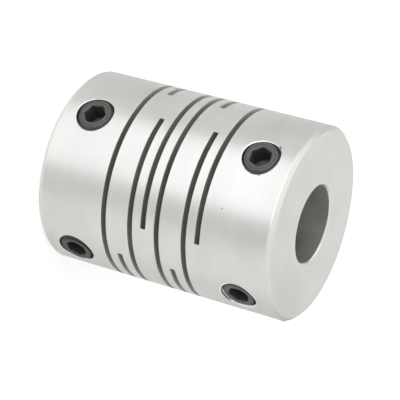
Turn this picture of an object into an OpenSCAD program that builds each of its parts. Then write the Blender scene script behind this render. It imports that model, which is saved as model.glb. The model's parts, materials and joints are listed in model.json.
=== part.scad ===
// Flexible shaft coupling of the parallel-cut kind: one bar of aluminium with
// saw cuts from alternate sides, so that it bends between its two hubs.
// Two socket set screws in each hub clamp the shafts.
// The coupling stands on its lower end, with its axis along +Z.

/* [Body] */
// Outside diameter
body_d = 20; // [18:0.5:30]
// Overall length
body_l = 26; // [24:0.5:40]
// Chamfer round the outer edge of each end
end_chamfer = 0.4; // [0.1:0.05:0.8]

/* [Bore] */
// Shaft bore, straight through the coupling
bore_d = 8; // [5:0.5:9]
// Chamfer at each mouth of the bore
bore_chamfer = 0.25; // [0.1:0.05:0.5]

/* [Cuts] */
// Number of cuts, in groups of four
cut_count = 8; // [4, 8]
// Width of one cut
cut_w = 0.55; // [0.3:0.05:0.8]
// Distance from one cut to the next
cut_pitch = 1.5; // [1.3:0.05:1.7]
// Thickness of the web that each cut leaves standing
web_t = 4.5; // [3.5:0.1:4.9]
// Turn of the webs from the first line of set screws, in degrees
web_turn = 25; // [0:1:90]

/* [Set screws] */
// Nominal diameter of the thread
thread_d = 4; // [3.5:0.5:5]
// Clearance between a screw and its hole, on the radius
thread_play = 0.05; // [0.02:0.01:0.1]
// Length of a screw
screw_l = 5; // [4:0.5:6]
// Height of the holes from the nearest end
hole_inset = 3.75; // [3.5:0.25:4.25]
// Angle between the two screws of a hub, in degrees
screw_spread = 90; // [60:5:120]
// Depth of the lower hub's head on the X line, below the outside diameter
lower_x_sink = 0; // [0:0.05:0.8]
// Depth of the lower hub's head on the Y line, below the outside diameter
lower_y_sink = 0; // [0:0.05:0.8]
// Depth of the upper hub's head on the X line, below the outside diameter
upper_x_sink = 0; // [0:0.05:0.8]
// Depth of the upper hub's head on the Y line, below the outside diameter
upper_y_sink = 0.15; // [0:0.05:0.8]
// Chamfer round a screw's head
head_chamfer = 0.35; // [0.2:0.05:0.4]
// Diameter of the cup at a screw's point
cup_d = 2; // [1.4:0.1:2.4]
// Depth of the cup
cup_depth = 0.5; // [0.2:0.1:0.8]

/* [Hexagon sockets] */
// Width across the flats
hex_af = 2; // [1.5:0.1:2.2]
// Depth of the flats
hex_depth = 2; // [1.2:0.1:2.2]
// Depth of the drill point below the flats
hex_point = 0.5; // [0.2:0.1:0.6]
// Width of the countersink beyond the corners
hex_lead = 0.1; // [0.05:0.05:0.15]
// Turn of the lower hub's socket on the X line, in degrees
lower_x_turn = 10; // [0:1:59]
// Turn of the lower hub's socket on the Y line, in degrees
lower_y_turn = 30; // [0:1:59]
// Turn of the upper hub's socket on the X line, in degrees
upper_x_turn = 40; // [0:1:59]
// Turn of the upper hub's socket on the Y line, in degrees
upper_y_turn = 10; // [0:1:59]

/* [Hidden] */
$fn = 96;
hex_sides = 6;
// How far a cutting shape runs past the surface that it cuts
overrun = 1;
// Side of each web, in degrees, over a group of four cuts
web_sides = [180, 0, 270, 90];
body_r = body_d / 2;
bore_r = bore_d / 2;
// Distance of a web's flat face from the axis
web_face = body_r - web_t;
hole_r = thread_d / 2;
screw_r = hole_r - thread_play;
hex_flat_r = hex_af / 2;
hex_mouth_r = hex_flat_r / cos(180 / hex_sides) + hex_lead;
cup_r = cup_d / 2;
lower_hole = hole_inset;
upper_hole = body_l - hole_inset;
// Angle at which the turned surfaces close on themselves
seam_turn = 65;

// The plain bar with its bore and chamfers, turned about the axis
module bar() {
    rotate([0, 0, seam_turn])
        rotate_extrude()
            polygon([
                [bore_r, bore_chamfer],
                [bore_r + bore_chamfer, 0],
                [body_r - end_chamfer, 0],
                [body_r, end_chamfer],
                [body_r, body_l - end_chamfer],
                [body_r - end_chamfer, body_l],
                [bore_r + bore_chamfer, body_l],
                [bore_r, body_l - bore_chamfer]
            ]);
}

// One saw cut, centred on Z = 0. It comes in from -X and stops at the web's flat face.
module cut() {
    reach = body_r + overrun;
    translate([-reach, -reach, -cut_w / 2])
        cube([reach + web_face, 2 * reach, cut_w]);
}

// The row of cuts, midway between the ends, with the webs in opposite pairs
// and each pair a quarter turn from the last
module cuts() {
    for (i = [0 : cut_count - 1])
        translate([0, 0, body_l / 2 + (i - (cut_count - 1) / 2) * cut_pitch])
            rotate([0, 0, web_turn + web_sides[i % len(web_sides)]])
                cut();
}

// Lays what stands along +Z on the axis of one set screw, pointing outwards
module on_screw_axis(height, angle) {
    translate([0, 0, height])
        rotate([0, 0, angle])
            rotate([0, 90, 0])
                children();
}

module coupling_body() {
    color("gainsboro")
        difference() {
            bar();
            cuts();
            for (height = [lower_hole, upper_hole], angle = [0, screw_spread])
                on_screw_axis(height, angle)
                    cylinder(r = hole_r, h = body_r + overrun);
        }
}

// Hexagon socket below Z = 0, with a countersunk mouth and a drill point
module socket() {
    lead_depth = hex_mouth_r - hex_flat_r;
    translate([0, 0, -hex_depth])
        cylinder(r = hex_flat_r / cos(180 / hex_sides), h = hex_depth + overrun, $fn = hex_sides);
    translate([0, 0, -hex_depth - hex_point])
        cylinder(r1 = 0, r2 = hex_flat_r, h = hex_point);
    translate([0, 0, -lead_depth])
        cylinder(r1 = hex_flat_r, r2 = hex_mouth_r + overrun, h = lead_depth + overrun);
}

// Set screw standing on its cup point, with its socket turned about its axis
module set_screw(turn) {
    color("dimgray")
        difference() {
            rotate_extrude()
                polygon([
                    [0, cup_depth],
                    [cup_r, 0],
                    [screw_r, screw_r - cup_r],
                    [screw_r, screw_l - head_chamfer],
                    [screw_r - head_chamfer, screw_l],
                    [0, screw_l]
                ]);
            translate([0, 0, screw_l])
                rotate([0, 0, turn])
                    socket();
        }
}

// A set screw in its hole, with its head at the stated depth
module seated_screw(height, angle, sink, turn) {
    on_screw_axis(height, angle)
        translate([0, 0, body_r - sink - screw_l])
            set_screw(turn);
}

module lower_set_screw_x() { seated_screw(lower_hole, 0, lower_x_sink, lower_x_turn); }
module lower_set_screw_y() { seated_screw(lower_hole, screw_spread, lower_y_sink, lower_y_turn); }
module upper_set_screw_x() { seated_screw(upper_hole, 0, upper_x_sink, upper_x_turn); }
module upper_set_screw_y() { seated_screw(upper_hole, screw_spread, upper_y_sink, upper_y_turn); }

coupling_body();
lower_set_screw_x();
lower_set_screw_y();
upper_set_screw_x();
upper_set_screw_y();
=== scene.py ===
"""Looks of a flexible shaft coupling: a turned and sawn aluminium body with four set screws.

Every piece is a numpy surface made in metres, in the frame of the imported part, where the
coupling stands on its lower end with its axis along +Z.
"""

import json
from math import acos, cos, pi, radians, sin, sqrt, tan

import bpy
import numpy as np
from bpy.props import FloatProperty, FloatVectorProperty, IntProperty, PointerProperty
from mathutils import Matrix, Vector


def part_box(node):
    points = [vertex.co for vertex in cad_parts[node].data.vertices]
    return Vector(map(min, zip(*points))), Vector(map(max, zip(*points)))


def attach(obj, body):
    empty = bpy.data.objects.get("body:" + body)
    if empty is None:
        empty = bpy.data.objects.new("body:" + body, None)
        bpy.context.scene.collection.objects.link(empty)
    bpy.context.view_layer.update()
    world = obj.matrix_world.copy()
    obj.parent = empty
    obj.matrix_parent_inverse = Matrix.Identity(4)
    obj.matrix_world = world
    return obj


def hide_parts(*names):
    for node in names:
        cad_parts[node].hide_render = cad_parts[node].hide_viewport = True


bl_info = {
    "name": "Flexible coupling",
    "version": (1, 0, 0),
    "blender": (4, 5, 0),
    "location": "3D View > Sidebar > Coupling",
    "description": "Makes a one-piece flexible shaft coupling with its set screws",
    "category": "Add Mesh",
}

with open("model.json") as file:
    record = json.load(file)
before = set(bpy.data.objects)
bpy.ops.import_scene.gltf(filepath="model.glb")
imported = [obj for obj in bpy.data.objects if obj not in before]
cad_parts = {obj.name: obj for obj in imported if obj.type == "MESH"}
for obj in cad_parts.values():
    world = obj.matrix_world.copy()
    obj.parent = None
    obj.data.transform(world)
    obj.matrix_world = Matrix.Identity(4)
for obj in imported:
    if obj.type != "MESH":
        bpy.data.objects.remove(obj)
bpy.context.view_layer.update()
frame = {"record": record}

MM = 0.001
MICRON = 0.001 * MM

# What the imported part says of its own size
BODY_NODE = "coupling_body"
SCREW_NODES = ("lower_set_screw_x", "lower_set_screw_y", "upper_set_screw_x", "upper_set_screw_y")
BODY_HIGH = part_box(BODY_NODE)[1]
BODY_RADIUS = BODY_HIGH.x
BODY_LENGTH = BODY_HIGH.z
MIDDLE = Vector((0, 0, BODY_LENGTH / 2))
BORE = next(m for m in frame["record"]["mounts"] if m["name"] == "bore_upper")
BORE_RADIUS = BORE["dims"]["r_mm"] * MM


def screw_seat(node):
    """Azimuth of a screw's axis, its height, the distance of its head from the coupling's axis,
    its length and its radius."""
    low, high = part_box(node)
    along_x = high.x > high.y
    azimuth = 0.0 if along_x else pi / 2
    head, tip = (high.x, low.x) if along_x else (high.y, low.y)
    return azimuth, (low.z + high.z) / 2, head, head - tip, (high.z - low.z) / 2


SCREW_SEATS = {node: screw_seat(node) for node in SCREW_NODES}
HOLE_AZIMUTHS = (0.0, pi / 2)


def length(name, description, millimetres):
    """A size that a user can change, shown with its unit."""
    return FloatProperty(name=name, description=description, default=millimetres * MM,
                         min=0, precision=5, unit="LENGTH")


def angle(name, description, degrees):
    """A turn that a user can change, shown in degrees."""
    return FloatProperty(name=name, description=description, default=radians(degrees),
                         unit="ROTATION")


def colour(name, description, value):
    """A colour that a user can change."""
    return FloatVectorProperty(name=name, description=description, default=value, size=3,
                               min=0, max=1, subtype="COLOR")


def fraction(name, description, value, least=0):
    """A share that a user can change."""
    return FloatProperty(name=name, description=description, default=value, min=least, max=1)


def per_screw(name, description, values, **settings):
    """One value for each screw, in the order of SCREW_NODES, that a user can change."""
    return FloatVectorProperty(name=name, description=description, default=values,
                               size=len(SCREW_NODES), **settings)


class CouplingSizes(bpy.types.PropertyGroup):
    """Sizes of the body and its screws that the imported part's box doesn't give."""

    cut_count: IntProperty(name="Cuts", description="Number of saw cuts", default=8, min=1, max=8)
    cut_width: length("Cut width", "Width of one saw cut", 0.55)
    cut_pitch: length("Cut pitch", "Distance from one cut to the next", 1.5)
    web_face: length("Web face", "Distance of a web's flat face from the axis", 5.5)
    web_turn: angle("Web turn", "Azimuth of the middle of the second cut's web", 25)
    end_chamfer: length("End chamfer", "Chamfer round the outside of each end", 0.4)
    end_round: length("End round", "Radius of the corner between that chamfer and the outside", 0.2)
    bore_chamfer: length("Bore chamfer", "Chamfer at each mouth of the bore", 0.15)
    edge_break: length("Edge break", "Tiny chamfer along the edges of the cuts and holes", 0.03)
    hole_radius: length("Hole radius", "Outside radius of the holes' thread", 2.0)
    hole_core: length("Hole core", "Inside radius of the holes' thread", 1.66)
    mouth_depth: length("Mouth depth", "Depth to which the holes' thread is worn down", 0.55)
    mouth_ridges: per_screw("Mouth ridges", "Height that each hole's thread keeps there",
                            [ridge * MM for ridge in (0.06, 0.06, 0.12, 0.16)],
                            min=0, unit="LENGTH")
    screw_root: length("Screw root", "Radius at the root of the screws' thread", 1.56)
    thread_pitch: length("Thread pitch", "Pitch of the set screws' thread", 0.7)
    head_chamfer: length("Head chamfer", "Chamfer round a screw's head", 0.35)
    cup_radius: length("Cup radius", "Radius of the cup at a screw's point", 1.0)
    cup_depth: length("Cup depth", "Depth of that cup", 0.5)
    hex_flat: length("Hexagon flat", "Distance of a socket's flat from its axis", 1.0)
    hex_depth: length("Hexagon depth", "Depth of a socket's flats", 2.0)
    hex_point: length("Hexagon point", "Depth of the drill point below the flats", 0.5)
    hex_lead: length("Hexagon lead", "Width of the countersink beyond the corners", 0.1)
    lead_slope: fraction("Lead slope", "Depth of the countersink for its width", 0.35, 0.2)
    socket_turns: per_screw("Socket turns", "Turn of each screw's socket",
                            [radians(turn) for turn in (10, 30, 40, 10)], unit="ROTATION")
    thread_starts: per_screw("Thread starts", "Turn at which each screw's and hole's thread starts",
                             [radians(turn) for turn in (74, 300, 74, 318)], unit="ROTATION")


class CouplingFinish(bpy.types.PropertyGroup):
    """Colours of the metal and of the marks on it."""

    aluminium: colour("Aluminium", "Turned aluminium", (0.89, 0.896, 0.85))
    sawn: colour("Sawn aluminium", "Walls of the saw cuts", (0.81, 0.79, 0.755))
    oxide: colour("Black oxide", "Set screws", (0.05, 0.052, 0.052))
    browned: colour("Browned oxide", "Patches on the set screws", (0.075, 0.064, 0.054))
    # Bare steel: streaks, specks and worn edges, where it is partly a painted highlight
    bare_steel_and_highlight: colour("Worn steel", "Edges of the set screws", (0.24, 0.24, 0.235))
    # Painted shade on the heads' chamfers and down the sockets, and each screw's tarnish, take this
    # colour
    shade_and_tarnish_oxide: colour("Deep oxide", "Set screws where no wear reaches", (0.012, 0.013, 0.013))
    speck: colour("Speck", "Small dots on the aluminium", (0.16, 0.14, 0.11))
    stain: colour("Stain", "Stains on the aluminium", (0.2, 0.1, 0.06))
    tarnish: per_screw("Tarnish", "How dark each screw has stayed", (0.0, 0.45, 0.0, 0.15),
                       min=0, max=1)
    floor: colour("Floor", "Pale floor", (0.9, 0.9, 0.9))
    floor_lift: fraction("Floor lift", "Level added to the floor where it is seen", 0.34)
    mirrored_lift: fraction("Mirrored lift", "Share of that level which metal shows", 0.35)


class CouplingView(bpy.types.PropertyGroup):
    """Where the camera stands, seen from the middle of the coupling."""

    azimuth: angle("Azimuth", "Direction of the camera, from +X", 29.5)
    elevation: angle("Elevation", "Height of the camera above the middle, as an angle", 24.27)
    axis_dip: angle("Axis dip", "How far the axis points down to the right in the picture", 15.32)
    distance: length("Distance", "From the camera to the middle", 176.37)
    aim_right: length("Aim right", "How far the camera aims right of the middle", 0.205)
    aim_down: length("Aim down", "How far the camera aims below the middle", 0.69)
    lens: FloatProperty(name="Lens", description="Focal length for a frame 36 mm wide",
                        default=155.5, unit="CAMERA")


# Faces of one kind are shaded smooth together, and an edge between two kinds stays sharp
OUTSIDE, BORE_WALL, HOLE_WALL, EDGE, CUT_FACE, WEB_FACE, END_FACE, END_EDGE, BORE_EDGE = range(9)

# Points in one cell of this size are one point. The shift keeps round values inside their cells.
WELD_CELL = 0.05 * MICRON
WELD_SHIFT = 0.37

# Stains and burrs on the outside: azimuth in degrees, height and reach in mm, and a burr's rise
STAINS = ((34.3, 20.36, 0.09), (11.2, 22.9, 0.1), (-8.3, 23.52, 0.34))
BURRS = ((-44, 8.95, 0.5, 0.16), (121, 25.6, 0.35, 0.14))


class Shell:
    """Collects patches of a closed surface: points, triangles and the kind of each triangle."""

    def __init__(self):
        self.points, self.triangles, self.kinds = [], [], []
        self.count = 0

    def add(self, points, triangles, kind):
        """Adds points of shape (n, 3) and triangles that index them."""
        self.points.append(points.reshape(-1, 3))
        self.triangles.append(triangles + self.count)
        self.kinds.append(np.full(len(triangles), kind))
        self.count += len(self.points[-1])

    def add_grid(self, points, kind, keep=True):
        """Adds closed rings of points of shape (rows, columns, 3). keep is a mask of the faces."""
        rows, columns = points.shape[:2]
        row = np.arange(rows - 1)[:, None]
        column = np.arange(columns)
        after = (column + 1) % columns
        corners = np.stack([row * columns + column, row * columns + after,
                            (row + 1) * columns + after, (row + 1) * columns + column], -1)
        corners = corners[np.broadcast_to(keep, corners.shape[:2])]
        self.add(points, np.concatenate([corners[:, [0, 1, 2]], corners[:, [0, 2, 3]]]), kind)

    def welded(self):
        """Points that fall together become one, and triangles that lose a corner are dropped."""
        points, triangles, kinds = map(np.concatenate, (self.points, self.triangles, self.kinds))
        cells = np.floor(points / WELD_CELL + WELD_SHIFT).astype(np.int64)
        _, first, same = np.unique(cells, axis=0, return_index=True, return_inverse=True)
        triangles = same.reshape(-1)[triangles]
        whole = (triangles != np.roll(triangles, 1, axis=1)).all(axis=1)
        return points[first], triangles[whole], kinds[whole]


def mesh_object(name, shell, materials, material_of_kind, normals_of_kind=None):
    """Makes an object from a shell. Edges between kinds are sharp. normals_of_kind gives true
    normals at points for some kinds, and the rest are averaged by Blender."""
    points, triangles, kinds = shell.welded()
    mesh = bpy.data.meshes.new(name)
    mesh.from_pydata(points, [], triangles, shade_flat=False)
    mesh.update()
    for material in materials:
        mesh.materials.append(material)
    slots = np.int32([material_of_kind.get(kind, 0) for kind in range(kinds.max() + 1)])
    mesh.polygons.foreach_set("material_index", slots[kinds])
    edge_of_loop = np.zeros(len(mesh.loops), np.int32)
    mesh.loops.foreach_get("edge_index", edge_of_loop)
    kind_of_loop = np.repeat(kinds, 3)
    least = np.full(len(mesh.edges), kinds.max() + 1)
    most = np.full(len(mesh.edges), -1)
    np.minimum.at(least, edge_of_loop, kind_of_loop)
    np.maximum.at(most, edge_of_loop, kind_of_loop)
    mesh.edges.foreach_set("use_edge_sharp", least != most)
    if normals_of_kind:
        at_loop = points[triangles.reshape(-1)]
        normals = np.zeros_like(at_loop)
        for kind, normal in normals_of_kind.items():
            chosen = kind_of_loop == kind
            normals[chosen] = normal(at_loop[chosen])
        mesh.normals_split_custom_set(normals.tolist())
    made = bpy.data.objects.new(name, mesh)
    bpy.context.scene.collection.objects.link(made)
    return made


def outwards(points):
    """Normals of a cylinder about the Z axis, pointing away from it."""
    flat = points * (1, 1, 0)
    return flat / np.linalg.norm(flat, axis=-1, keepdims=True)


def off_corner(corner):
    """Normals of an end's chamfer and of the round between it and the outside: the cosine of the
    tilt is the share of the round's radius by which a point lies beyond the round's centre."""
    def normal(points):
        radius = np.hypot(points[:, 0], points[:, 1])
        level = np.clip((radius - BODY_RADIUS + corner) / corner, sqrt(0.5), 1)
        rise = np.sqrt(1 - level ** 2) * np.where(points[:, 2] > BODY_LENGTH / 2, 1, -1)
        return outwards(points) * level[:, None] + rise[:, None] * (0, 0, 1)
    return normal


def inwards(points):
    """Normals of a bore about the Z axis, pointing at it."""
    return -outwards(points)


def round_axis(radius, turn, height):
    """Points at a radius, azimuth and height from the Z axis."""
    radius, turn, height = np.broadcast_arrays(radius, turn, height)
    return np.stack([radius * np.cos(turn), radius * np.sin(turn), height], -1)


def from_hole(azimuth, height, out, side, up):
    """Points near a radial hole: out from the coupling's axis along the hole, side along the
    tangent, and up from the hole's height."""
    out, side, up = np.broadcast_arrays(out, side, up)
    return np.stack([out * cos(azimuth) - side * sin(azimuth),
                     out * sin(azimuth) + side * cos(azimuth), height + up], -1)


def beside_screw(points, seat):
    """Where points lie beside a screw's axis, along the tangent and up, and their depth below its
    head. It undoes from_hole."""
    azimuth, height, head = seat[:3]
    side = points[:, 1] * cos(azimuth) - points[:, 0] * sin(azimuth)
    out = points[:, 0] * cos(azimuth) + points[:, 1] * sin(azimuth)
    return np.stack([side, points[:, 2] - height, head - out], -1)


def on_outside(azimuth, height):
    """The point of the body's outside at an azimuth in degrees and a height in mm."""
    turn = radians(azimuth)
    return (BODY_RADIUS * cos(turn), BODY_RADIUS * sin(turn), height * MM)


def burred(points):
    """Raises the outside away from the axis at each burr, by its rise times a bell of the
    distance from it."""
    lift = np.zeros(len(points))
    for azimuth, height, reach, rise in BURRS:
        away = np.linalg.norm(points - on_outside(azimuth, height), axis=1)
        lift += rise * MM * np.exp(-(2 * away / (reach * MM)) ** 2)
    return points + lift[:, None] * (points * (1, 1, 0)) / BODY_RADIUS


def blend(first, last, share):
    """Goes from one value or array to another as the share goes from 0 to 1."""
    return first * (1 - share) + last * share


def even_rows(first, last, steps):
    """Rows that go in even steps from one value, or one ring of values, to another."""
    return blend(first, last, np.linspace(0, 1, steps + 1)[:, None])


def zip_rings(outer, inner):
    """Triangles between two closed rings given by their rising angles. Each angle of either ring,
    taken in turn, closes one triangle on the last points passed, so the rings may differ in count."""
    order = np.argsort(np.concatenate([outer, inner]), kind="stable")
    on_outer = order < len(outer)
    at_outer = (np.cumsum(on_outer) - 1) % len(outer)
    at_inner = (np.cumsum(~on_outer) - 1) % len(inner)
    last_outer = np.where(on_outer, at_outer - 1, at_outer) % len(outer)
    last_inner = np.where(on_outer, at_inner, at_inner - 1) % len(inner)
    new = np.where(on_outer, at_outer, len(outer) + at_inner)
    return np.stack([last_outer, new, len(outer) + last_inner], 1)


def thread_ridge(out, turn, pitch):
    """Height of a right-hand thread from 0 at the middle of its groove to 1 at the middle of its
    ridge: a triangle wave of the distance along the axis less a pitch for each full turn."""
    phase = out / pitch - turn / (2 * np.pi)
    return np.abs(2 * (phase % 1) - 1)


# Columns round the body and round a hole, and rows down a hole's wall
COLUMNS = 240
HOLE_COLUMNS = 80
WALL_ROWS = 90

# The patch round a hole: its half width as a turn, its half height, its rows, its rings, and the
# power by which the rings crowd towards the hole
PATCH_HALF_ANGLE = {OUTSIDE: radians(15), BORE_WALL: radians(40.5)}
PATCH_HALF_HEIGHT = 2.6 * MM
PATCH_ROWS = {OUTSIDE: 20, BORE_WALL: 10}
PATCH_RINGS = {OUTSIDE: 5, BORE_WALL: 4}
PATCH_CROWDING = 1.5

RADIUS = {OUTSIDE: BODY_RADIUS, BORE_WALL: BORE_RADIUS}
# Sides of the webs over a group of cuts, in degrees from the web turn
WEB_SIDES = (180, 0, 270, 90)
# Turn over which a cut's edge break tapers away beside its web
BREAK_TAPER = radians(3)
# Slack by which a column at the very end of a web still counts as in it
SLACK = 1e-9
# Strips across an end face
FACE_STRIPS = 3
# Tilts of the round between an end's chamfer and the outside
ROUND_TILTS = np.radians([45, 36, 27, 18, 9, 0])
# The level of a thread's wave at which a hole's groove or a screw's root ends, and the part of
# the wave that the flank takes from there
HOLE_GROOVE, HOLE_FLANK = 0.9, 0.6
SCREW_ROOT, SCREW_FLANK = 0.2, 0.65


def patch_columns(azimuth, kind):
    """The columns that a hole's patch spans, from its left edge to its right."""
    step = 2 * np.pi / COLUMNS
    first = round((azimuth - PATCH_HALF_ANGLE[kind]) / step)
    last = round((azimuth + PATCH_HALF_ANGLE[kind]) / step)
    return np.arange(first, last + 1) % COLUMNS


class Body:
    """The body as a stack of turned rings joined by webs, with threaded holes in both hubs."""

    def __init__(self, sizes):
        self.sizes = sizes
        self.shell = Shell()
        cuts = np.arange(sizes.cut_count)
        half = acos(sizes.web_face / BODY_RADIUS)
        self.web_half = half
        self.web_middles = sizes.web_turn + np.radians(np.take(WEB_SIDES, cuts % len(WEB_SIDES)))
        self.turns = np.arange(COLUMNS) * 2 * np.pi / COLUMNS
        for end in np.concatenate([self.web_middles - half, self.web_middles + half]) % (2 * np.pi):
            self.turns[np.argmin(np.abs(self.turns - end))] = end
        self.cut_heights = BODY_LENGTH / 2 + (cuts - (sizes.cut_count - 1) / 2) * sizes.cut_pitch

    def from_web(self, cut, turns):
        """Angle of each turn from the middle of a cut's web, from minus to plus a half turn."""
        return (turns - self.web_middles[cut] + np.pi) % (2 * np.pi) - np.pi

    def cut_break(self, cut):
        """Edge break of a cut at each column: full where the cut is open, and tapering away at
        the ends of its web."""
        beyond = (np.abs(self.from_web(cut, self.turns)) - self.web_half) / BREAK_TAPER
        return self.sizes.edge_break * np.clip(beyond, 0, 1)

    def cut_reach(self, cut):
        """Outer radius of a cut's wall at each column: the outside less the edge break, or the
        web's flat face, which lies at face / cos(angle)."""
        off = self.from_web(cut, self.turns)
        in_web = np.abs(off) < self.web_half + SLACK
        flat = self.sizes.web_face / np.cos(np.where(in_web, off, 0))
        return np.where(in_web, flat, BODY_RADIUS - self.cut_break(cut))

    def strip(self, start, end, steps, kind, keep=True):
        """A strip carried round the axis, straight between two (radius, height) profiles."""
        radius, height = (even_rows(first, last, steps) for first, last in zip(start, end))
        self.shell.add_grid(round_axis(radius, self.turns, height), kind, keep)

    def cut_levels(self, cut):
        """Heights of a cut's lower and upper wall."""
        half = self.sizes.cut_width / 2
        return self.cut_heights[cut] - half, self.cut_heights[cut] + half

    def cut_walls(self, cut):
        """Both walls of a cut, its web's flat face and the outside of the web."""
        low, high = self.cut_levels(cut)
        reach = self.cut_reach(cut)
        broken = self.cut_break(cut)
        self.strip((BODY_RADIUS, low - broken), (BODY_RADIUS - broken, low), 1, EDGE)
        self.strip((reach, low), (BORE_RADIUS, low), 2, CUT_FACE)
        self.strip((BORE_RADIUS, high), (reach, high), 2, CUT_FACE)
        self.strip((BODY_RADIUS - broken, high), (BODY_RADIUS, high + broken), 1, EDGE)
        middle = (self.turns + np.roll(self.turns, -1)) / 2
        middle[-1] += np.pi
        in_web = np.abs(self.from_web(cut, middle)) < self.web_half
        self.strip((reach, high), (reach, low), 1, WEB_FACE, in_web)
        self.strip((BODY_RADIUS, low), (BODY_RADIUS, high), 1, OUTSIDE, in_web)

    def disc_walls(self, below):
        """Outside and bore of the disc between a cut and the next."""
        low = self.cut_levels(below)[1]
        high = self.cut_levels(below + 1)[0]
        self.strip((BODY_RADIUS, low + self.cut_break(below)),
                   (BODY_RADIUS, high - self.cut_break(below + 1)), 2, OUTSIDE)
        self.strip((BORE_RADIUS, high), (BORE_RADIUS, low), 1, BORE_WALL)

    def hub_wall(self, kind, centre, low, high):
        """A hub's outside or bore from one height to another, with a square left open round each
        hole."""
        patch = np.linspace(centre - PATCH_HALF_HEIGHT, centre + PATCH_HALF_HEIGHT,
                            PATCH_ROWS[kind] + 1)
        heights = np.stack([np.broadcast_to(height, COLUMNS) for height in (low, *patch, high)])
        keep = np.ones((len(heights) - 1, COLUMNS), bool)
        for azimuth in HOLE_AZIMUTHS:
            keep[1:-1, patch_columns(azimuth, kind)[:-1]] = False
        order = -1 if kind == BORE_WALL else 1
        points = round_axis(RADIUS[kind], self.turns, heights)
        self.shell.add_grid(points[::order], kind, keep=keep[::order])

    def hole_patch(self, kind, azimuth, centre, rim):
        """Fills the square round a hole, from the square's own points in to the hole's rim, on
        the cylinder out = sqrt(radius^2 - side^2). Returns the rim's angles and points."""
        radius = RADIUS[kind]
        sides = radius * np.sin(self.turns[patch_columns(azimuth, kind)] - azimuth)
        ups = np.linspace(-PATCH_HALF_HEIGHT, PATCH_HALF_HEIGHT, PATCH_ROWS[kind] + 1)
        side, up = np.meshgrid(sides, ups)
        edge = np.ones(side.shape, bool)
        edge[1:-1, 1:-1] = False
        side, up = side[edge], up[edge]
        turn = np.arctan2(up, side) % (2 * np.pi)
        order = np.argsort(turn)
        side, up, turn = side[order], up[order], turn[order]
        share = (np.linspace(0, 1, PATCH_RINGS[kind] + 1) ** PATCH_CROWDING)[:, None]
        ring_side = blend(rim * np.cos(turn), side, share)
        ring_up = blend(rim * np.sin(turn), up, share)
        out = np.sqrt(radius ** 2 - ring_side ** 2)
        points = from_hole(azimuth, centre, out, ring_side, ring_up)
        self.shell.add_grid(points if kind == BORE_WALL else points[::-1], kind)
        return turn, points[0]

    def hole(self, azimuth, centre, start, mouth_ridge):
        """One tapped hole: its patches outside and in the bore, its threaded wall and the broken
        edges. The ridge of the thread has its full height below the mouth, and fades at the bore."""
        sizes = self.sizes
        broken = sizes.edge_break
        rim = sizes.hole_radius + broken
        turn = np.arange(HOLE_COLUMNS) * 2 * np.pi / HOLE_COLUMNS
        reach = sizes.hole_radius * np.cos(turn)
        outer = np.sqrt(BODY_RADIUS ** 2 - reach ** 2) - broken
        inner = np.sqrt(BORE_RADIUS ** 2 - reach ** 2) + broken
        out = even_rows(outer, inner, WALL_ROWS)
        ridge = thread_ridge(out, turn - start, sizes.thread_pitch)
        full = sizes.hole_radius - sizes.hole_core
        below = np.clip(BODY_RADIUS - sizes.mouth_depth - out, 0, full - mouth_ridge)
        height = np.minimum(mouth_ridge + below, np.maximum(out - inner, 0))
        radius = sizes.hole_radius - height * np.clip((HOLE_GROOVE - ridge) / HOLE_FLANK, 0, 1)
        wall = from_hole(azimuth, centre, out, radius * np.cos(turn), radius * np.sin(turn))
        self.shell.add_grid(wall, HOLE_WALL)
        for kind, row, order in ((OUTSIDE, 0, 1), (BORE_WALL, -1, -1)):
            angles, points = self.hole_patch(kind, azimuth, centre, rim)
            self.shell.add(np.concatenate([points, wall[row]]),
                           zip_rings(angles, turn)[:, ::order], EDGE)

    def hub(self, upper):
        """One hub: chamfers, end face, outside, bore and its two holes. The upper hub is made as
        the lower one's mirror image, by heights measured from the other end."""
        sizes = self.sizes
        first_screw = len(HOLE_AZIMUTHS) if upper else 0
        centre = SCREW_SEATS[SCREW_NODES[first_screw]][1]
        end = BODY_LENGTH if upper else 0
        inward = -1 if upper else 1
        cut = sizes.cut_count - 1 if upper else 0
        face = self.cut_levels(cut)[upper]
        mouth = sizes.bore_chamfer
        rim = [(BORE_RADIUS, end + inward * mouth), (BORE_RADIUS + mouth, end),
               (BODY_RADIUS - sizes.end_chamfer, end)]
        down = sizes.end_chamfer + sizes.end_round * tan(ROUND_TILTS[0] / 2)
        rim += [(BODY_RADIUS - sizes.end_round * (1 - cos(tilt)),
                 end + inward * (down - sizes.end_round * sin(tilt))) for tilt in ROUND_TILTS]
        kinds = (BORE_EDGE, END_FACE) + (END_EDGE,) * len(ROUND_TILTS)
        for start, stop, kind in zip(rim[:-1], rim[1:], kinds):
            if upper:
                start, stop = stop, start
            self.strip(start, stop, FACE_STRIPS if kind == END_FACE else 1, kind)
        for kind, start, stop in ((OUTSIDE, rim[-1][1], face - inward * self.cut_break(cut)),
                                  (BORE_WALL, rim[0][1], face)):
            self.hub_wall(kind, centre, *((stop, start) if upper else (start, stop)))
        for screw, azimuth in enumerate(HOLE_AZIMUTHS, first_screw):
            self.hole(azimuth, centre, sizes.thread_starts[screw], sizes.mouth_ridges[screw])

    def build(self):
        """All the patches of the body."""
        for cut in range(self.sizes.cut_count):
            self.cut_walls(cut)
        for below in range(self.sizes.cut_count - 1):
            self.disc_walls(below)
        self.hub(False)
        self.hub(True)
        self.shell.points = [burred(points) for points in self.shell.points]
        return self.shell


SCREW_COLUMNS = 96
SCREW_THREAD_ROWS = 80
SCREW_THREAD, SCREW_CUP, SCREW_FACE, SCREW_LEAD, SCREW_BOTTOM, SCREW_HEX = range(6)
HEX_SIDES = 6
HEX_HALF = pi / HEX_SIDES
HEX_ROWS = 6


def socket_mouth(sizes):
    """Radius of a socket's mouth: the hexagon's corner and the countersink beyond it."""
    return sizes.hex_flat / cos(HEX_HALF) + sizes.hex_lead


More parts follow.
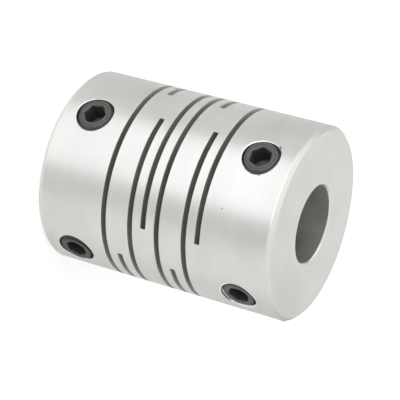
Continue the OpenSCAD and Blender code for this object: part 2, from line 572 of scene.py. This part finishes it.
def screw_shell(sizes, seat, socket_turn, start):
    """One set screw as rings about its own axis, from the cup at its point to the drill point at
    the bottom of its socket. A ring is a distance out from the coupling's axis and a radius."""
    azimuth, height, head, long, crest = seat
    tip = head - long
    turn = socket_turn - pi / 2 + np.arange(SCREW_COLUMNS) * 2 * np.pi / SCREW_COLUMNS
    shell = Shell()

    def rings(out, radius, kind, keep=True):
        """Adds the rings, one for each row of out and radius."""
        points = from_hole(azimuth, height, out, radius * np.cos(turn), radius * np.sin(turn))
        shell.add_grid(points, kind, keep)

    rings(even_rows(tip + sizes.cup_depth, tip, 6), even_rows(0, sizes.cup_radius, 6), SCREW_CUP)
    out = even_rows(tip, head, SCREW_THREAD_ROWS)
    depth = crest - sizes.screw_root
    ridge = thread_ridge(out, turn - start, sizes.thread_pitch)
    thread = sizes.screw_root + depth * np.clip((ridge - SCREW_ROOT) / SCREW_FLANK, 0, 1)
    point = sizes.cup_radius + (out - tip)
    chamfer = crest - sizes.head_chamfer + (head - out)
    rings(out, np.minimum(np.minimum(thread, point), chamfer), SCREW_THREAD)
    mouth = socket_mouth(sizes)
    rings(even_rows(head, head, 3), even_rows(crest - sizes.head_chamfer, mouth, 3), SCREW_FACE)
    off = (turn - socket_turn + pi / 2) % (2 * HEX_HALF) - HEX_HALF
    hexagon = sizes.hex_flat / np.cos(off)
    lead = (mouth - hexagon) * sizes.lead_slope
    rings(even_rows(head, head - lead, 4), even_rows(mouth, hexagon, 4), SCREW_LEAD)
    side = np.arange(SCREW_COLUMNS) // (SCREW_COLUMNS // HEX_SIDES)
    for number in range(HEX_SIDES):
        rings(even_rows(head - lead, head - sizes.hex_depth, HEX_ROWS),
              even_rows(hexagon, hexagon, HEX_ROWS), SCREW_HEX + number, side == number)
    bottom = head - sizes.hex_depth
    rings(even_rows(bottom, bottom, 1), even_rows(hexagon, sizes.hex_flat, 1), SCREW_BOTTOM)
    rings(even_rows(bottom, bottom - sizes.hex_point, 4), even_rows(sizes.hex_flat, 0, 4), SCREW_BOTTOM)
    return shell


class Tree:
    """Places nodes in a node tree."""

    def __init__(self, data):
        self.data = data

    def feed(self, socket, value):
        """Gives a socket a value or another node's output."""
        if isinstance(value, bpy.types.NodeSocket):
            self.data.links.new(value, socket)
        else:
            socket.default_value = value

    def add(self, kind, inputs=None, **settings):
        """Places a shader node with its settings, and feeds the inputs given by name or number."""
        node = self.data.nodes.new("ShaderNode" + kind)
        for name, value in settings.items():
            setattr(node, name, value)
        for name, value in (inputs or {}).items():
            self.feed(node.inputs[name], value)
        return node

    def math(self, operation, *values, clamp=False):
        """One step of arithmetic."""
        return self.add("Math", dict(enumerate(values)), operation=operation, use_clamp=clamp).outputs[0]

    def vector(self, operation, *values):
        """One step of arithmetic on vectors."""
        outputs = self.add("VectorMath", dict(enumerate(values)), operation=operation).outputs
        single = operation in ("LENGTH", "DISTANCE", "DOT_PRODUCT")
        return outputs["Value" if single else "Vector"]

    def place(self):
        """Where the shaded point is in its object."""
        return self.add("TexCoord").outputs["Object"]

    def round_z(self, place):
        """The distance of a place from the Z axis, and its direction from there."""
        flat = self.vector("MULTIPLY", place, (1, 1, 0))
        return self.vector("LENGTH", flat), self.vector("NORMALIZE", flat)

    def ramp(self, value, low, high, to_low=0.0, to_high=1.0):
        """Carries a value smoothly from one level to another between two limits."""
        return self.add("MapRange",
                        {"Value": value, "From Min": low, "From Max": high, "To Min": to_low,
                         "To Max": to_high}, interpolation_type="SMOOTHSTEP").outputs["Result"]

    def mix(self, share, first, second):
        """A colour between two others."""
        return self.add("Mix", {0: share, 6: first, 7: second}, data_type="RGBA").outputs[2]

    def noise(self, vector, scale, detail=2.0):
        """Soft noise between 0 and 1."""
        return self.add("TexNoise", {"Vector": vector, "Scale": scale, "Detail": detail}).outputs["Fac"]

    def effect(self, fill, **inputs):
        """Places an effect that the materials share: a node group with these inputs, which
        fill(tree, given) builds at its first use. It returns what each output puts out."""
        group = bpy.data.node_groups.get(fill.__name__)
        if group is None:
            group = bpy.data.node_groups.new(fill.__name__, "ShaderNodeTree")
            for name in inputs:
                kind = "NodeSocketVector" if name in ("Vector", "Around") else "NodeSocketFloat"
                group.interface.new_socket(name=name, in_out="INPUT", socket_type=kind)
            inner = Tree(group)
            results = fill(inner, group.nodes.new("NodeGroupInput").outputs)
            for name in results:
                group.interface.new_socket(name=name, in_out="OUTPUT", socket_type="NodeSocketFloat")
            end = group.nodes.new("NodeGroupOutput")
            for name, value in results.items():
                inner.feed(end.inputs[name], value)
        return self.add("Group", inputs, node_tree=group).outputs


# Cells of noise per tool mark, for its height and its streaks, and the radius of their circle
HEIGHT_STEP, STREAK_STEP, STREAK_REACH = 0.37, 0.11, 1.3
# Levels between which smudges, and the screws' edge wear with its painted highlight, fade in
SMUDGE_FADE = (0.36, 0.68)
WEAR_AND_HIGHLIGHT_FADE = (0.15, 0.7)
# Size of the nibbles in a worn edge and its painted highlight, and the share that they all leave
NIBBLE_SIZE, NIBBLE_LEAST = 0.5 * MM, 0.35


def tool_marks(tree, given):
    """Marks that a tool leaves at each step of its travel: a sine of travel / pitch, whose height
    changes from one mark to the next, and slow streaks that run round with the marks."""
    steps = tree.math("DIVIDE", given["Travel"], given["Pitch"])
    wave = tree.math("SINE", tree.math("MULTIPLY", steps, 2 * pi))
    across, along = (
        tree.add("CombineXYZ", {"Z": tree.math("MULTIPLY", steps, step)}).outputs[0]
        for step in (HEIGHT_STEP, STREAK_STEP))
    around = tree.vector("MULTIPLY", given["Around"], (STREAK_REACH,) * 3)
    return {"Height": tree.math("MULTIPLY", wave, tree.noise(across, 1.0)),
            "Streaks": tree.noise(tree.vector("ADD", around, along), 1.0, 3.0)}


def smudges(tree, given):
    """Soft patches of handling and oxide, about as wide as the given size."""
    cloud = tree.noise(given["Vector"], tree.math("DIVIDE", 1.0, given["Size"]), 4.0)
    return {"Mask": tree.ramp(cloud, *SMUDGE_FADE)}


def specks(tree, given):
    """Small dots, one in some of the cells of a Voronoi pattern. Share is the part of the cells
    that has one."""
    scale = tree.math("DIVIDE", 1.0, given["Spacing"])
    cells = tree.add("TexVoronoi", {"Vector": given["Vector"], "Scale": scale})
    reach = tree.math("DIVIDE", given["Radius"], given["Spacing"])
    near = tree.math("LESS_THAN", cells.outputs["Distance"], reach)
    chance = tree.add("SeparateColor", {0: cells.outputs["Color"]}).outputs[0]
    chosen = tree.math("LESS_THAN", chance, given["Share"])
    return {"Mask": tree.math("MULTIPLY", near, chosen)}


def worn_and_highlit_edge(tree, given):
    """Wear along an edge, partly a painted highlight: full at the edge, gone at the given width from it,
    and nibbled.
    """
    away = tree.math("DIVIDE", given["Distance"], given["Width"])
    fall = tree.math("SUBTRACT", 1.0, away, clamp=True)
    nibble = tree.noise(given["Vector"], 1 / NIBBLE_SIZE, 3.0)
    worn = tree.math("MULTIPLY", fall, tree.math("ADD", nibble, NIBBLE_LEAST))
    return {"Mask": tree.ramp(worn, *WEAR_AND_HIGHLIGHT_FADE)}


# A quarter of a full turn, in the shader's unit
QUARTER_TURN = 0.25


def metal_material(name, metallic, anisotropic=0.0):
    """A metal material with its tree and its shader. Anisotropic metal is brushed round Z."""
    material = bpy.data.materials.new(name)
    material.use_nodes = True
    tree = Tree(material.node_tree)
    shader = material.node_tree.nodes["Principled BSDF"]
    shader.inputs["Metallic"].default_value = metallic
    shader.inputs["Anisotropic"].default_value = anisotropic
    if anisotropic:
        shader.inputs["Anisotropic Rotation"].default_value = QUARTER_TURN
        tangent = tree.add("Tangent", direction_type="RADIAL", axis="Z")
        tree.feed(shader.inputs["Tangent"], tangent.outputs[0])
    return material, tree, shader


def bump(tree, shader, height):
    """Raises the surface by a height in metres."""
    relief = tree.add("Bump", {"Strength": 1.0, "Distance": 1.0, "Height": height})
    tree.feed(shader.inputs["Normal"], relief.outputs[0])


# Bare aluminium: level of its dimmer tone, strength of the marks on it, and size of its grain
DIM_LEVEL = 0.93
SMUDGE_STRENGTH, SPECK_STRENGTH = 0.35, 0.6
METAL_GRAIN = 0.08 * MM
# Weight of smudges beside streaks in its roughness, limits of the sum, and the change at each
SMUDGE_WEIGHT = 0.5
UNEVEN_LIMITS = (0.2, 1.3)
SMOOTHER, ROUGHER = 0.03, 0.05


def aluminium(finish, name, tone, roughness, direction, pitch, groove, grain, anisotropic=0.0,
              spots=()):
    """Bare aluminium. With direction = (x, y, z, share), the tool's travel is the place along
    x, y, z plus the radius times the share. Groove is the height of its marks and grain that of
    the fine roughness. Spots are stains, each (place, reach)."""
    material, tree, shader = metal_material(name, 1.0, anisotropic)
    place = tree.place()
    radius, around = tree.round_z(place)
    along = tree.vector("DOT_PRODUCT", place, direction[:3])
    travel = tree.math("MULTIPLY_ADD", radius, direction[3], along)
    marks = tree.effect(tool_marks, Travel=travel, Around=around, Pitch=pitch)
    patch = tree.effect(smudges, Vector=place, Size=5 * MM)["Mask"]
    dots = tree.effect(specks, Vector=place, Spacing=3.1 * MM, Radius=0.05 * MM, Share=0.22)["Mask"]
    dim = (*(DIM_LEVEL * value for value in tone), 1)
    clean = tree.mix(marks["Streaks"], (*tone, 1), dim)
    handled = tree.mix(tree.math("MULTIPLY", patch, SMUDGE_STRENGTH), clean, dim)
    seen = tree.mix(tree.math("MULTIPLY", dots, SPECK_STRENGTH), handled, (*finish.speck, 1))
    for spot, reach in spots:
        stain = tree.ramp(tree.vector("DISTANCE", place, spot), 0.5 * reach, reach, 1.0, 0.0)
        seen = tree.mix(stain, seen, (*finish.stain, 1))
    tree.feed(shader.inputs["Base Color"], seen)
    uneven = tree.math("MULTIPLY_ADD", patch, SMUDGE_WEIGHT, marks["Streaks"])
    rough = tree.ramp(uneven, *UNEVEN_LIMITS, roughness - SMOOTHER, roughness + ROUGHER)
    tree.feed(shader.inputs["Roughness"], rough)
    ridges = tree.math("MULTIPLY", marks["Height"], groove)
    bump(tree, shader, tree.math("MULTIPLY_ADD", tree.noise(place, 1 / METAL_GRAIN), grain, ridges))
    return material


# Black oxide: its levels, and the height of the tool's marks and of its grain
OXIDE_METALLIC = 0.25
OXIDE_ROUGHNESS = (0.36, 0.5)
STREAK_STRENGTH, BARE_AND_HIGHLIGHT_STRENGTH = 0.2, 0.5
OXIDE_GROOVE = 0.8 * MICRON
OXIDE_GRAIN, OXIDE_GRAIN_HEIGHT = 0.06 * MM, 2.5 * MICRON
# Painted shade: how dark it gets, and over which share of the chamfer, which its hole shades,
# and which depths of the socket
CHAMFER_SHADE_LEVEL, CHAMFER_SHARE = 0.3, 0.8
SOCKET_SHADE_LEVEL, SOCKET_SHADE_DEPTHS = 0.14, (0.05 * MM, 0.9 * MM)


def black_oxide(finish, sizes, crest):
    """Blackened steel of the set screws, worn along the edges of the head and the thread, where the
    wear is partly a painted highlight. Painted shade darkens the head's chamfer and the socket.
    The attribute around_screw holds a point's place beside its screw's axis, in X and Y, and its
    depth below the head, in Z."""
    material, tree, shader = metal_material("black_oxide", OXIDE_METALLIC)
    place = tree.place()
    local = tree.add("Attribute", attribute_name="around_screw").outputs["Vector"]
    tarnish = tree.add("Attribute", attribute_name="tarnish").outputs["Fac"]
    radius, around = tree.round_z(local)
    depth = tree.add("SeparateXYZ", {0: local}).outputs["Z"]
    marks = tree.effect(tool_marks, Travel=radius, Around=around, Pitch=0.09 * MM)
    face = crest - sizes.head_chamfer
    rims = [tree.math("ABSOLUTE", tree.math("SUBTRACT", radius, edge))
            for edge in (socket_mouth(sizes), face)]
    near_rim = tree.math("ADD", tree.math("MINIMUM", *rims), depth)
    nearest = tree.math("MINIMUM", near_rim, tree.math("SUBTRACT", crest, radius))
    # The rims of the head and the socket and the thread's crest show bare steel, partly a painted
    # highlight
    worn = tree.effect(worn_and_highlit_edge, Distance=nearest, Width=0.09 * MM, Vector=place)["Mask"]
    patch = tree.effect(smudges, Vector=place, Size=1.6 * MM)["Mask"]
    dots = tree.effect(specks, Vector=place, Spacing=0.9 * MM, Radius=0.05 * MM, Share=0.3)["Mask"]
    steel = (*finish.bare_steel_and_highlight, 1)
    black = tree.mix(patch, (*finish.oxide, 1), (*finish.browned, 1))
    streaked = tree.mix(tree.math("MULTIPLY", marks["Streaks"], STREAK_STRENGTH), black, steel)
    # Painted shade: the chamfer, which its hole shades, and the socket with depth darken; tarnish
    # darkens a whole screw
    chamfer_shade = tree.ramp(radius, face, crest - CHAMFER_SHARE * sizes.head_chamfer, 0.0, CHAMFER_SHADE_LEVEL)
    inside = tree.ramp(depth, *SOCKET_SHADE_DEPTHS, 0.0, SOCKET_SHADE_LEVEL)
    dark = tree.math("MAXIMUM", tree.math("MAXIMUM", chamfer_shade, inside), tarnish)
    shaded = tree.mix(dark, streaked, (*finish.shade_and_tarnish_oxide, 1))
    # Bare steel at specks and worn edges, the edges partly a painted highlight
    bare_and_highlit = tree.math("MULTIPLY", tree.math("MAXIMUM", worn, dots), BARE_AND_HIGHLIGHT_STRENGTH)
    bare_and_highlit = tree.math("MULTIPLY", bare_and_highlit, tree.math("SUBTRACT", 1.0, tarnish))
    tree.feed(shader.inputs["Base Color"], tree.mix(bare_and_highlit, shaded, steel))
    tree.feed(shader.inputs["Roughness"], tree.ramp(patch, 0.0, 1.0, *OXIDE_ROUGHNESS))
    fine = tree.noise(place, 1 / OXIDE_GRAIN, 3.0)
    ridges = tree.math("MULTIPLY", marks["Height"], OXIDE_GROOVE)
    bump(tree, shader, tree.math("MULTIPLY_ADD", fine, OXIDE_GRAIN_HEIGHT, ridges))
    return material


class CouplingBodyOperator(bpy.types.Operator):
    """Makes the sawn and turned body"""

    bl_idname = "coupling.make_body"
    bl_label = "Make Body"

    def execute(self, context):
        finish = context.scene.coupling_finish
        sizes = context.scene.coupling_sizes
        saw = (cos(sizes.web_turn), sin(sizes.web_turn), 0, 0)
        spots = [(on_outside(azimuth, height), reach * MM) for azimuth, height, reach in STAINS]
        turned = aluminium(finish, "turned_aluminium", finish.aluminium, roughness=0.45,
                           direction=(0, 0, 1, 0), pitch=0.13 * MM, groove=0.5 * MICRON,
                           grain=0.3 * MICRON, anisotropic=0.88, spots=spots)
        faced = aluminium(finish, "faced_aluminium", finish.aluminium, roughness=0.34,
                          direction=(0, 0, 1, 1), pitch=0.11 * MM, groove=0.7 * MICRON,
                          grain=0.4 * MICRON)
        sawn = aluminium(finish, "sawn_aluminium", finish.sawn, roughness=0.5, direction=saw,
                         pitch=0.16 * MM, groove=4 * MICRON, grain=1.5 * MICRON)
        broken = aluminium(finish, "broken_edge", finish.aluminium, roughness=0.54,
                           direction=(0, 0, 1, 0), pitch=0.1 * MM, groove=0.6 * MICRON,
                           grain=0.8 * MICRON)
        shell = Body(sizes).build()
        made = mesh_object("sawn_body", shell, [turned, faced, sawn, broken],
                           {OUTSIDE: 0, BORE_WALL: 1, HOLE_WALL: 1, EDGE: 1, CUT_FACE: 2,
                            WEB_FACE: 2, END_FACE: 1, END_EDGE: 3, BORE_EDGE: 1},
                           {OUTSIDE: outwards, BORE_WALL: inwards,
                            END_EDGE: off_corner(sizes.end_round)})
        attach(made, "root")
        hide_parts(BODY_NODE)
        return {"FINISHED"}


class CouplingScrewsOperator(bpy.types.Operator):
    """Makes the four socket set screws"""

    bl_idname = "coupling.make_set_screws"
    bl_label = "Make Set Screws"

    def execute(self, context):
        sizes = context.scene.coupling_sizes
        finish = context.scene.coupling_finish
        crest = SCREW_SEATS[SCREW_NODES[0]][-1]
        oxide = black_oxide(finish, sizes, crest)
        for node, turn, start, kept in zip(SCREW_NODES, sizes.socket_turns, sizes.thread_starts,
                                           finish.tarnish):
            shell = screw_shell(sizes, SCREW_SEATS[node], turn, start)
            made = mesh_object("threaded_" + node, shell, [oxide], {})
            mesh = made.data
            places = np.zeros((len(mesh.vertices), 3))
            mesh.vertices.foreach_get("co", places.ravel())
            around = mesh.attributes.new("around_screw", "FLOAT_VECTOR", "POINT")
            around.data.foreach_set("vector", beside_screw(places, SCREW_SEATS[node]).ravel())
            tarnish = mesh.attributes.new("tarnish", "FLOAT", "POINT")
            tarnish.data.foreach_set("value", np.full(len(places), kept))
            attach(made, "root")
            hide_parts(node)
        return {"FINISHED"}


# The camera's frame in mm, and the nearest distance in metres that it sees
SENSOR_WIDTH = 36
CLIP_START = 0.01


def towards(azimuth, elevation):
    """The direction of an azimuth and an elevation."""
    across = cos(elevation)
    return Vector((across * cos(azimuth), across * sin(azimuth), sin(elevation)))


def camera_axes(view):
    """The camera's right, up and back directions. The coupling's axis, seen in the picture, points
    right and down by the dip, so right and up are its direction turned about the line of sight."""
    back = towards(view.azimuth, view.elevation)
    axis = Vector((0, 0, 1))
    seen = (axis - back * axis.dot(back)).normalized()
    beside = back.cross(seen)
    right = seen * cos(view.axis_dip) + beside * sin(view.axis_dip)
    up = beside * cos(view.axis_dip) - seen * sin(view.axis_dip)
    return right, up, back


WHITE = (1, 1, 1)
LAMP_DISTANCE = 0.35
# The lamps: azimuth and elevation, width and height, all in degrees, level and tint
LAMPS = {
    "front_lamp": (3, 22, 72, 48, 1.98, (0.94, 0.945, 1.0)),
    "side_lamp": (100, 20, 58, 44, 0.7, WHITE),
    "back_lamp": (-136, 22, 43, 44, 0.71, WHITE),
    "low_lamp": (160, 28, 44, 30, 0.52, WHITE),
    "high_lamp": (130, 46, 46, 18, 0.66, WHITE),
    "fill_lamp": (-80, 44, 46, 34, 0.92, WHITE),
}


def softbox(name, azimuth, elevation, wide, high, level, tint):
    """An area lamp that faces the middle of the coupling. It is wide by high degrees as seen from
    there, and a white mirror would show it at the given level, where 1 is white."""
    data = bpy.data.lights.new(name, "AREA")
    data.shape = "RECTANGLE"
    data.size, data.size_y = (2 * LAMP_DISTANCE * tan(radians(spread) / 2)
                              for spread in (wide, high))
    data.energy = level * pi * data.size * data.size_y
    data.color = tint
    lamp = bpy.data.objects.new(name, data)
    lamp.visible_camera = False
    away = towards(radians(azimuth), radians(elevation))
    lamp.location = away * LAMP_DISTANCE + MIDDLE
    lamp.rotation_euler = away.to_track_quat("Z", "Y").to_euler()
    bpy.context.scene.collection.objects.link(lamp)


def soft_dome(name, horizon, overhead, start, full):
    """A world that rises from the horizon's level to the overhead one between two elevations in
    degrees, start and full. The camera sees it white."""
    world = bpy.data.worlds.new(name)
    world.use_nodes = True
    tree = Tree(world.node_tree)
    direction = tree.add("TexCoord").outputs["Generated"]
    sine = tree.add("SeparateXYZ", {0: direction}).outputs["Z"]
    level = tree.ramp(sine, sin(radians(start)), sin(radians(full)), horizon, overhead)
    seen = tree.add("LightPath").outputs["Is Camera Ray"]
    background = world.node_tree.nodes["Background"]
    background.inputs["Color"].default_value = (*WHITE, 1)
    tree.feed(background.inputs["Strength"], tree.math("MAXIMUM", level, seen))
    return world


# The floor: half its side, its drop below the coupling so that the two don't touch, and the
# distances between which its far part is lifted, and by how much
FLOOR_HALF = 0.6
FLOOR_DROP = 0.01 * MM
FAR_LIMITS = (0.06, 0.4)
FAR_LIFT = 0.6


def floor_material(finish):
    """Matt pale paint. Camera rays see it lifted to white, less the shadow on it, and more where
    it is far and dim. Mirrored and clear rays see a share of that. It is clear from below."""
    material = bpy.data.materials.new("floor_paint")
    material.use_nodes = True
    nodes = material.node_tree.nodes
    nodes.remove(nodes["Principled BSDF"])
    tree = Tree(material.node_tree)
    paint = tree.add("BsdfDiffuse", {"Color": (*finish.floor, 1)})
    path = tree.add("LightPath").outputs
    through = tree.math("ADD", path["Is Glossy Ray"], path["Is Transmission Ray"])
    seen = tree.math("MULTIPLY_ADD", through, finish.mirrored_lift, path["Is Camera Ray"])
    away = tree.vector("LENGTH", tree.place())
    far = tree.math("MULTIPLY", path["Is Camera Ray"], tree.ramp(away, *FAR_LIMITS, 0.0, FAR_LIFT))
    level = tree.math("MULTIPLY_ADD", seen, finish.floor_lift, far)
    lift = tree.add("Emission", {"Color": (*WHITE, 1), "Strength": level})
    total = tree.add("AddShader", {0: paint.outputs[0], 1: lift.outputs[0]})
    below = tree.add("NewGeometry").outputs["Backfacing"]
    clear = tree.add("BsdfTransparent")
    either = tree.add("MixShader", {0: below, 1: total.outputs[0], 2: clear.outputs[0]})
    tree.feed(nodes["Material Output"].inputs["Surface"], either.outputs[0])
    return material


class CouplingStageOperator(bpy.types.Operator):
    """Makes the pale floor, the soft lamps and the camera"""

    bl_idname = "coupling.make_stage"
    bl_label = "Make Stage"

    def execute(self, context):
        scene = context.scene
        view = scene.coupling_view
        right, up, back = camera_axes(view)
        data = bpy.data.cameras.new("camera")
        data.lens = view.lens
        data.sensor_width = SENSOR_WIDTH
        data.clip_start = CLIP_START
        camera = bpy.data.objects.new("camera", data)
        place = MIDDLE + right * view.aim_right - up * view.aim_down + back * view.distance
        camera.matrix_world = Matrix.Translation(place) @ Matrix(
            (right, up, back)).transposed().to_4x4()
        scene.collection.objects.link(camera)
        scene.camera = camera

        mesh = bpy.data.meshes.new("floor")
        corners = [(x * FLOOR_HALF, y * FLOOR_HALF, -FLOOR_DROP)
                   for x, y in ((-1, -1), (1, -1), (1, 1), (-1, 1))]
        mesh.from_pydata(corners, [], [(0, 1, 2, 3)])
        floor = bpy.data.objects.new("floor", mesh)
        scene.collection.objects.link(floor)
        mesh.materials.append(floor_material(scene.coupling_finish))

        scene.world = soft_dome("studio", horizon=0.12, overhead=0.86, start=44, full=58)
        for name, settings in LAMPS.items():
            softbox(name, *settings)
        scene.view_settings.view_transform = "Standard"
        return {"FINISHED"}


class CouplingPanel(bpy.types.Panel):
    """Lists the pieces of the coupling"""

    bl_idname = "VIEW3D_PT_coupling"
    bl_label = "Flexible Coupling"
    bl_space_type = "VIEW_3D"
    bl_region_type = "UI"
    bl_category = "Coupling"

    def draw(self, context):
        layout = self.layout
        for operator in OPERATORS:
            layout.operator(operator.bl_idname)
        for group in ("coupling_sizes", "coupling_finish", "coupling_view"):
            settings = getattr(context.scene, group)
            box = layout.box()
            for name in settings.__annotations__:
                box.prop(settings, name)


OPERATORS = (CouplingStageOperator, CouplingBodyOperator, CouplingScrewsOperator)
GROUPS = {"coupling_sizes": CouplingSizes, "coupling_finish": CouplingFinish,
          "coupling_view": CouplingView}
CLASSES = (*GROUPS.values(), *OPERATORS, CouplingPanel)


def register():
    for made in CLASSES:
        bpy.utils.register_class(made)
    for name, group in GROUPS.items():
        setattr(bpy.types.Scene, name, PointerProperty(type=group))


def unregister():
    for name in GROUPS:
        delattr(bpy.types.Scene, name)
    for made in reversed(CLASSES):
        bpy.utils.unregister_class(made)


def main():
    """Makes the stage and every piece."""
    register()
    bpy.ops.coupling.make_stage()
    bpy.ops.coupling.make_body()
    bpy.ops.coupling.make_set_screws()


if __name__ == "__main__":
    main()
